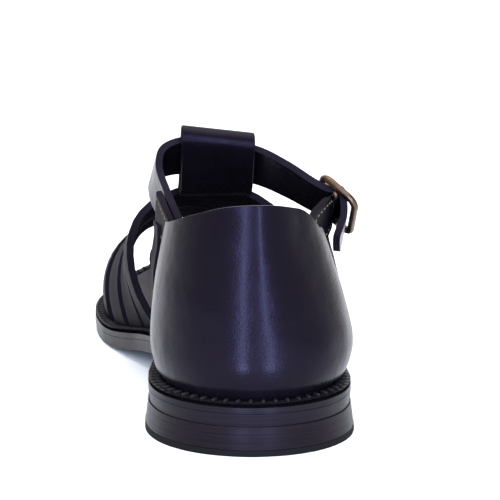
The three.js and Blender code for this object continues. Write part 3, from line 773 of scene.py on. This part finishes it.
# T-bar and toe cap. Real thing: one cut of the same calf. A strap runs down the ridge of the foot
# over the cage and widens into the cap that closes the toe, which is lasted under the insole.
BAR_START = 109
BAR_MARGIN = 0.2
RIDGE_STEPS = 60
T_BAR = [
    {"y": 109, "half": 12.6, "lift": 1.9},
    {"y": 120, "half": 12, "lift": 1.9},
    {"y": 150, "half": 10.6, "lift": 1.9},
    {"y": 185, "half": 9.6, "lift": 1.9},
    {"y": 205, "half": 9.8, "lift": 1.4},
    {"y": 222, "half": 11.2, "lift": 0.2},
    {"y": 238, "half": 14, "lift": 0},
    {"y": 252, "half": 18, "lift": 0},
    {"y": 262, "half": 24, "lift": 0},
    {"y": 267, "half": 31, "lift": 0},
    {"y": 270, "half": 60, "lift": 0},
]
bar_half = column(T_BAR, "y", "half")
bar_lift = column(T_BAR, "y", "lift")


@lru_cache(maxsize=None)
def across_at(t, side, half, depth):
    """Value of across where the surface has gone a distance from the ridge."""
    before = foot_point(t, 0, depth)
    gone = 0.0
    for step in range(1, RIDGE_STEPS + 1):
        point = foot_point(t, side * step / RIDGE_STEPS, depth)
        span = (point - before).length
        if gone + span >= half:
            return side * (step - 1 + (half - gone) / span) / RIDGE_STEPS
        gone += span
        before = point
    return side


def bar_point(u, v):
    """Point of the bar and cap: u runs to the toe, v across, with the cap's margin lasted under."""
    start = station_at(BAR_START)
    t = round(start + (STATIONS - start) * u, 6)
    y = edge_point(t, -1).y
    k = (2 + BAR_MARGIN) * (2 * v - 1)
    side = -1 if k < 0 else 1
    across = across_at(t, side, bar_half(y), -bar_lift(y))
    if abs(k) <= 2:
        across *= abs(k) / 2
    elif abs(across) == 1:
        across = side * (1 + (abs(k) - 2) / BAR_MARGIN)
    return foot_point(t, across, -bar_lift(y))


sheet(
    "t_bar_and_toe_cap", (120, 22), bar_point, STRAP, INWARDS, middle_of_foot, face=strap_calf
)

# Loop. Real thing: the top of the T-bar, skived, folded back round the ankle strap and sewn down,
# so that the strap runs through it. The fold leans a little to the inner side.
LOOP_PATH = [
    (116, 69.4), (111.5, 71.8), (108, 74.8), (105.4, 78.5), (99.1, 85.3),
    (92.9, 92), (90, 93.8), (86.8, 93.6), (85.3, 90.8), (87.1, 86.9),
    (92.8, 79.6), (98.8, 72.8), (103.4, 70.4), (109, 69.8), (114, 68.6),
]
LOOP_CENTRE = -7.8
LOOP_HALF = 12.8
LOOP_THICKNESS = 2.4
LOOP_LEAN = -0.12
LOOP_LEAN_FROM = 70
LOOP_LEAN_RISE = 12
LOOP_MIDDLE = (97, 80)
loop_path = spline([(0, y, z) for y, z in LOOP_PATH])


def loop_point(u, v):
    """Point of the fold: it leans more the higher it is, and lies level where it is sewn down."""
    middle = loop_path(u)
    side = 2 * v - 1
    risen = min(1, max(0, (middle.z - LOOP_LEAN_FROM) / LOOP_LEAN_RISE))
    lean = LOOP_LEAN * side * LOOP_HALF * risen
    return Vector((LOOP_CENTRE + side * LOOP_HALF, middle.y, middle.z + lean))


sheet(
    "folded_loop", (80, 10), loop_point, LOOP_THICKNESS, BOTH_WAYS,
    lambda face: in_frame((LOOP_CENTRE, *LOOP_MIDDLE)), 0.6,
)

# Quarters and ears. Real thing: straps of the same calf 2.2 mm thick. Each quarter strap rises from
# the welt ahead of the counter to the ear, which runs up from the counter's front corner.
ANKLE_PATH = [
    ((-20.4, 43, 64.0), (-21.8, 55, 50.3)),
    ((-23.2, 52, 70.0), (-23.8, 64.4, 56.2)),
    ((-26.4, 65, 76.8), (-26.4, 77.4, 63.2)),
    ((-28.8, 79, 84.4), (-30.6, 91.2, 71.0)),
    ((-26.8, 86, 89.2), (-29.8, 98.4, 75.9)),
    ((-20.2, 89.2, 91.4), (-23.0, 101.8, 78.0)),
    ((-7.8, 90.4, 90.2), (-8.4, 102.9, 76.6)),
    ((5.4, 88.6, 88.2), (6.6, 101.4, 74.2)),
    ((15.8, 84.6, 83.4), (17.2, 98.6, 70.0)),
    ((25.8, 80.0, 77.3), (25.8, 95.7, 65.6)),
    ((30.5, 78.4, 75.2), (30.5, 94.1, 63.4)),
    ((34.3, 78.5, 75.2), (34.3, 94.2, 63.5)),
    ((35.0, 76.8, 73.1), (35.0, 92.5, 61.3)),
    ((35.0, 72.7, 67.5), (35.0, 88.3, 55.7)),
    ((33.6, 69.6, 64.2), (34.2, 85.0, 54.1)),
    ((32.2, 66.6, 61.6), (33.5, 81.0, 53.0)),
    ((31.5, 65.0, 60.3), (32.9, 77.4, 52.7)),
]
LATERAL_EAR = [
    ((20.6, 40, 63.3), (23.4, 55, 47.8)),
    ((21.8, 50, 70.8), (25.4, 63.4, 56.6)),
    ((25.6, 60, 73.0), (29.0, 74.0, 60.0)),
    ((29.0, 70, 73.6), (31.0, 84.5, 61.4)),
    ((29.9, 75.2, 72.6), (30.5, 89.2, 61.8)),
]
MEDIAL_QUARTER = [
    ((-24.6, 80, 17.3), (-23.8, 96, 17.3)),
    ((-24.8, 80, 19.1), (-24.1, 96, 19.1)),
    ((-28.4, 79.5, 24.8), (-28.4, 95, 25.3)),
    ((-29.8, 78.5, 34.8), (-30.2, 93, 35.8)),
    ((-30.0, 76, 46.8), (-30.4, 90.5, 48.8)),
    ((-28.8, 71, 57.8), (-29.4, 85.5, 59.2)),
    ((-28.9, 67, 64.8), (-29.9, 79, 65.2)),
]
LATERAL_QUARTER = [
    ((28.4, 80, 17.3), (29.8, 96, 17.3)),
    ((28.7, 80, 19.1), (30.1, 96, 19.1)),
    ((32.6, 79.5, 24.8), (33.8, 95, 25.3)),
    ((33.6, 78, 34.8), (35, 93, 35.8)),
    ((30.6, 74, 46.8), (32.4, 88, 47.8)),
    ((26.8, 68, 56.8), (29.4, 82, 58.3)),
    ((25.6, 64, 62.8), (28.8, 77, 64.3)),
]
ANKLE_STRAP = 2.5
CLEARANCE = 0.3
EAR_SHARE = 8 / 60
EAR_GRID = (40, 10)


def ruled(rows, shift=0.0, share=1.0):
    """Strap laid between its rear and front edges, moved along its own normal towards the foot."""
    rear, front = (spline([row[end] for row in rows]) for end in (0, 1))

    def point(u, v):
        u *= share
        a, b = rear(u), front(u)
        ahead, behind = min(1, u + A_LITTLE), max(0, u - A_LITTLE)
        along = rear(ahead) - rear(behind) + front(ahead) - front(behind)
        return a.lerp(b, v) + (b - a).cross(along).normalized() * shift

    return point


medial_ear = ruled(ANKLE_PATH, -(ANKLE_STRAP / 2 + CLEARANCE + WALL / 2), EAR_SHARE)
lateral_ear = ruled(LATERAL_EAR)
for name, cut in (
    ("ear_inner", medial_ear), ("ear_outer", lateral_ear),
    ("quarter_strap_inner", ruled(MEDIAL_QUARTER)), ("quarter_strap_outer", ruled(LATERAL_QUARTER)),
):
    sheet(name, EAR_GRID, cut, WALL, BOTH_WAYS, middle_of_foot, face=strap_calf)

# Polyester thread in a dull tan, whose stitches show as a row of pale dashes on the black.
thread_tan, tree, shader, place = surface(
    "polyester_thread", Roughness=0.55, IOR=1.5, Specular_IOR_Level=0.2
)
shader.inputs["Base Color"].default_value = linear("#5f5544")
# A row runs beside each long edge of an ear, from its first to its last stitch.
ROW_INSET = 0.14
ROW_START = 0.25
ROW_END = 0.94
ROW_STITCHES = 9
EAR_STITCH = {"length_mm": 2.2, "width_mm": 0.7, "height_mm": 0.5}
STITCH_LOOKAHEAD = 0.02
bm = bmesh.new()
for ear, face_at in ((medial_ear, -WALL / 2), (lateral_ear, WALL / 2), (lateral_ear, -WALL / 2)):
    for edge in (ROW_INSET, 1 - ROW_INSET):
        for step in range(ROW_STITCHES):
            u = ROW_START + (ROW_END - ROW_START) * step / (ROW_STITCHES - 1)
            here, ahead = ear(u, edge), ear(min(1, u + STITCH_LOOKAHEAD), edge)
            across = ear(u, 1) - ear(u, 0)
            outward = across.cross(ahead - here).normalized()
            add_stitch(bm, here + outward * face_at, ahead - here, outward, **EAR_STITCH)
make_piece("ear_stitches", bm, "upper", "upper_leather", thread_tan)

# Ankle strap. Real thing: calf folded over a lining, 2.5 mm thick and 19.6 mm wide, with five holes
# punched in it. It starts on the inner ear and runs through the loop and the buckle to its round tip.
TIP_SHARE = 0.955
HOLE_MARKS = (99, 107, 115, 123, 131)
HOLE_RADIUS = 1.1
HOLE_CORE = 0.9
STRAP_STEPS = 1000
ankle_line = ruled(ANKLE_PATH)


def ankle_point(u, v):
    """Point of the strap, whose width closes in a half circle past the start of its tip."""
    past = max(0.0, (u - TIP_SHARE) / (1 - TIP_SHARE))
    keep = math.sqrt(max(0.0, 1 - past * past))
    return ankle_line(u, 0.5 + (v - 0.5) * keep)


def punch_holes(bm):
    """Opens a hole at each mark on the strap's middle line, before it gets its thickness."""
    spots = []
    gone, before = 0.0, ankle_line(0, 0.5)
    for step in range(1, STRAP_STEPS + 1):
        point = ankle_line(step / STRAP_STEPS, 0.5)
        for mark in HOLE_MARKS:
            if gone < mark <= gone + (point - before).length:
                spots.append(in_frame(point))
        gone += (point - before).length
        before = point
    for spot in spots:
        middle = min(bm.verts, key=lambda vert: (vert.co - spot).length)
        cut = bmesh.ops.bevel(
            bm, geom=[middle], offset=HOLE_RADIUS * MM, affect="VERTICES", segments=4,
            profile=0.5, material=-1,
        )
        hole = [
            face for face in cut["faces"]
            if (face.calc_center_median() - spot).length < HOLE_CORE * MM
        ]
        bmesh.ops.delete(bm, geom=hole, context="FACES")


sheet(
    "ankle_strap_calf", (140, 14), ankle_point, ANKLE_STRAP, BOTH_WAYS, middle_of_foot, 0.5,
    punch_holes, "ankle_strap",
)

# Buckle frame. Real thing: cast brass, browned with age, 2.6 mm thick. It is a rounded rectangle
# that lies over the strap at the outer bar and is held at the hinge bar by a fold of the outer ear.
OUTER_BAR = (28.5, 88.9, 72.8)
BUCKLE_LENGTH = 15.2
BUCKLE_WIDTH = 23.4
BUCKLE_ALONG = (0.69, -0.43, -0.58)
BUCKLE_ACROSS = (0, 0.8, -0.6)
CENTRE_BAR_DROP = 2.1
WIRE = 1.3
CENTRE_WIRE = 0.9
CORNER = 3.6
FRAME_CELLS = 120
CENTRE_CELLS = 4
BAR_SIDES = 16
BAR_LOOKAHEAD = 1e-3
BAR_WELD = 1e-6
outer_bar = Vector(OUTER_BAR)
buckle_width = Vector(BUCKLE_ACROSS).normalized()
buckle_along = Vector(BUCKLE_ALONG)
buckle_along = (buckle_along - buckle_width * buckle_along.dot(buckle_width)).normalized()
buckle_normal = buckle_along.cross(buckle_width).normalized()
centre_bar = outer_bar + buckle_along * (BUCKLE_LENGTH / 2) - buckle_normal * CENTRE_BAR_DROP

# Old brass: warm brown with a soft metal shine, duller in spots of tarnish about 3 mm across.
TARNISH_PER_METRE = 320.0
BRASS_GLOSS = (0.22, 0.42)
brass, tree, shader, place = surface("antique_brass", Metallic=1.0, Roughness=0.3)
tarnish = add_node(
    tree, "ShaderNodeTexNoise", values={"Scale": TARNISH_PER_METRE, "Detail": 5.0},
    links={"Vector": place},
)
blend = add_node(tree, "ShaderNodeMix", {"data_type": "RGBA"}, links={0: tarnish.outputs["Fac"]})
blend.inputs["A"].default_value = linear("#33271f")
blend.inputs["B"].default_value = linear("#77604f")
tree.links.new(blend.outputs["Result"], shader.inputs["Base Color"])
gloss = add_node(
    tree, "ShaderNodeMapRange", values={"To Min": BRASS_GLOSS[0], "To Max": BRASS_GLOSS[1]},
    links={"Value": tarnish.outputs["Fac"]},
)
tree.links.new(gloss.outputs["Result"], shader.inputs["Roughness"])


def add_bar(bm, path, count, radius, up, closed=False):
    """Adds a round bar along path(share), in table millimetres, with flat or joined ends."""
    def place(u, v):
        ahead, behind = u + BAR_LOOKAHEAD, u - BAR_LOOKAHEAD
        if closed:
            ahead, behind = ahead % 1, behind % 1
        else:
            ahead, behind = min(1, ahead), max(0, behind)
        along = (path(ahead) - path(behind)).normalized()
        over = (up - along * up.dot(along)).normalized()
        beside = along.cross(over)
        turn = 2 * math.pi * v
        reach = radius(u) if callable(radius) else radius
        return path(u) + over * reach * math.cos(turn) + beside * reach * math.sin(turn)

    lay_grid(bm, count, BAR_SIDES, place)
    bmesh.ops.remove_doubles(bm, verts=bm.verts, dist=BAR_WELD)
    bmesh.ops.holes_fill(bm, edges=[edge for edge in bm.edges if edge.is_boundary], sides=0)
    bmesh.ops.recalc_face_normals(bm, faces=bm.faces)


def frame_path(share):
    """Centre line of the frame: a rounded rectangle in its own plane."""
    sides = [BUCKLE_LENGTH - 2 * CORNER, BUCKLE_WIDTH - 2 * CORNER] * 2
    bend = CORNER * math.pi / 2
    left = (share % 1) * (sum(sides) + 4 * bend)
    x, y, heading = CORNER, BUCKLE_WIDTH / 2, 0.0
    for side in sides:
        step = min(left, side)
        x, y = x + math.cos(heading) * step, y + math.sin(heading) * step
        left -= step
        if left <= 0:
            break
        turn = min(left, bend) / CORNER
        x += CORNER * (math.sin(heading) - math.sin(heading - turn))
        y += CORNER * (math.cos(heading - turn) - math.cos(heading))
        heading -= turn
        left -= turn * CORNER
        if left <= 0:
            break
    return outer_bar + buckle_along * x + buckle_width * y


def centre_path(share):
    """Centre line of the hinge bar, from one side of the frame to the other."""
    end = buckle_width * (BUCKLE_WIDTH / 2)
    return (centre_bar - end).lerp(centre_bar + end, share)


bm = bmesh.new()
add_bar(bm, frame_path, FRAME_CELLS, WIRE, buckle_normal, closed=True)
add_bar(bm, centre_path, CENTRE_CELLS, CENTRE_WIRE, buckle_normal)
make_piece("cast_buckle_frame", bm, "buckle_frame", "old_brass", brass)

# Hinge fold. Real thing: the outer ear's end, skived thin, folded over the hinge bar and sewn down
# on both faces of the ear. A slot in the fold lets the prong swing.
FOLD_PATH = [
    (0.4, -5.5), (-1.4, -3.5), (-1.05, -0.38), (-0.8, 0.8), (0, 1.12), (0.8, 0.8),
    (1.05, -0.38), (0.8, -1.6), (2.6, -3.6),
]
FOLD_ENDS = (-9.4, 6.4)
FOLD_THICKNESS = 0.36
SLOT_HALF = 1.6
SLOT_DEPTH = 2.4
fold_path = spline([centre_bar + buckle_along * a + buckle_normal * n for a, n in FOLD_PATH])


def fold_point(u, v):
    """Point of the fold: u goes round the hinge bar from face to face of the ear, v along it."""
    return fold_path(u) + buckle_width * (FOLD_ENDS[0] + (FOLD_ENDS[1] - FOLD_ENDS[0]) * v)


def open_slot(bm):
    """Cuts the prong's slot out of the upper part of the fold."""
    hinge = in_frame(centre_bar)
    cut = []
    for face in bm.faces:
        away = face.calc_center_median() - hinge
        beside, above = abs(away.dot(buckle_width)), away.dot(buckle_normal)
        if beside < SLOT_HALF * MM and above > -SLOT_DEPTH * MM:
            cut.append(face)
    bmesh.ops.delete(bm, geom=cut, context="FACES")


sheet(
    "hinge_fold", (60, 32), fold_point, FOLD_THICKNESS, BOTH_WAYS, middle_of_foot, 0.1, open_slot,
    face=strap_calf,
)

# Prong. Real thing: drawn brass wire 2.2 mm thick, curled round the hinge bar so that it can swing.
# It passes through a hole of the strap and rests on the outer bar.
PRONG = 1.1
PRONG_CELLS = 48
OVERHANG = 2.4
HOOK_PLAY = 0.15
HOOK = CENTRE_WIRE + PRONG + HOOK_PLAY
HOOK_TURNS = (-0.9, -1.4, -1.9, -2.4, -2.9)
TAPER_START = 0.88
TAPER = 0.35
over = WIRE + CLEARANCE + PRONG
# Middle line past the hook: how far along from the outer bar, and how high over it.
PRONG_RISE = ((4.6, 0.2), (3.4, 1.9), (1.6, over), (0, over), (-OVERHANG, over))
prong_line = spline(
    [
        centre_bar + buckle_along * HOOK * math.cos(turn) + buckle_normal * HOOK * math.sin(turn)
        for turn in HOOK_TURNS
    ]
    + [
        outer_bar + buckle_along * along + buckle_normal * up
        for along, up in PRONG_RISE
    ]
)


def prong_radius(share):
    """Radius of the wire, filed thinner towards its tip."""
    return PRONG * (1 - TAPER * max(0.0, share - TAPER_START) / (1 - TAPER_START))


bm = bmesh.new()
add_bar(bm, prong_line, PRONG_CELLS, prong_radius, buckle_width)
prong = make_piece("buckle_prong_wire", bm, "buckle_prong", "old_brass", brass)
round_edges(prong, width_mm=0.3)

# Floor, light and camera. The shoe stands on a seamless white table under a large soft top light.
# Two tall narrow panels beside the camera give the two streaks on the counter, and narrow lights on
# the floor, which the camera doesn't see, carry them down to the heel.
FLOOR_HALF = 4.0
DAYLIGHT = "#bcd6ff"
LEFT_FOOT, LEFT_TURN = (-0.004, -0.039, 0.002), -17
RIGHT_FOOT, RIGHT_TURN = (0.0063, -0.038, 0.002), 16.6
# Painted table: matt white.
white, tree, shader, place = surface("white_sweep", Roughness=0.9, IOR=1.45)
shader.inputs["Base Color"].default_value = linear("#ffffff")
bm = bmesh.new()
bmesh.ops.create_grid(bm, x_segments=1, y_segments=1, size=FLOOR_HALF)
mesh = bpy.data.meshes.new("floor")
bm.to_mesh(mesh)
bm.free()
mesh.materials.append(white)
floor = bpy.data.objects.new("floor", mesh)
bpy.context.collection.objects.link(floor)

world = bpy.data.worlds.new("studio")
world.use_nodes = True
world.node_tree.nodes["Background"].inputs["Color"].default_value = (1, 1, 1, 1)
world.node_tree.nodes["Background"].inputs["Strength"].default_value = 1.0
bpy.context.scene.world = world


def soft_light(name, place, width, height, power, colour):
    """Rectangular light at a place, in metres and watts."""
    light = bpy.data.lights.new(name, "AREA")
    light.shape = "RECTANGLE"
    light.size, light.size_y = width, height
    light.energy = power
    light.color = linear(colour)[:3]
    lamp = bpy.data.objects.new(name, light)
    lamp.location = place
    bpy.context.collection.objects.link(lamp)
    return lamp


for name, place, aim, width, height, power, colour in (
    ("top_light", (0, 0.1, 1.6), (0, 0.08, 0), 1.6, 1.6, 26, "#ffffff"),
    ("panel_left", (-0.5, -1.7, 0.5), (0, 0, 0.05), 0.16, 1.3, 38, DAYLIGHT),
    ("panel_right", (0.5, -1.75, 0.5), (0, 0, 0.05), 0.16, 1.3, 38, DAYLIGHT),
):
    lamp = soft_light(name, place, width, height, power, colour)
    lamp.rotation_euler = (Vector(aim) - Vector(place)).to_track_quat("-Z", "Y").to_euler()

# Each strip leads away from the heel's foot, between a near and a far distance, and shines upwards.
for side, foot, degrees in (("left", LEFT_FOOT, LEFT_TURN), ("right", RIGHT_FOOT, RIGHT_TURN)):
    turn = math.radians(degrees)
    away = Vector((math.sin(turn), -math.cos(turn), 0))
    for name, near, far, width, power in (
        ("near_strip", 0.05, 0.22, 0.014, 0.33), ("far_strip", 0.22, 0.9, 0.045, 4.2),
    ):
        middle = Vector(foot) + away * (near + far) / 2
        lamp = soft_light(f"{name}_{side}", middle, width, far - near, power, DAYLIGHT)
        lamp.rotation_euler = (math.pi, 0, turn)
        lamp.visible_camera = False

CAMERA_PLACE = (-0.0725, -1.0355, 0.256)
CAMERA_TILT = 79.39
CAMERA_TURN = -4
camera = bpy.data.cameras.new("camera")
camera.lens = 226.8
camera.sensor_width = 36
viewer = bpy.data.objects.new("camera", camera)
viewer.location = CAMERA_PLACE
viewer.rotation_euler = (math.radians(CAMERA_TILT), 0, math.radians(CAMERA_TURN))
bpy.context.collection.objects.link(viewer)
bpy.context.scene.camera = viewer
bpy.context.scene.view_settings.view_transform = "Standard"
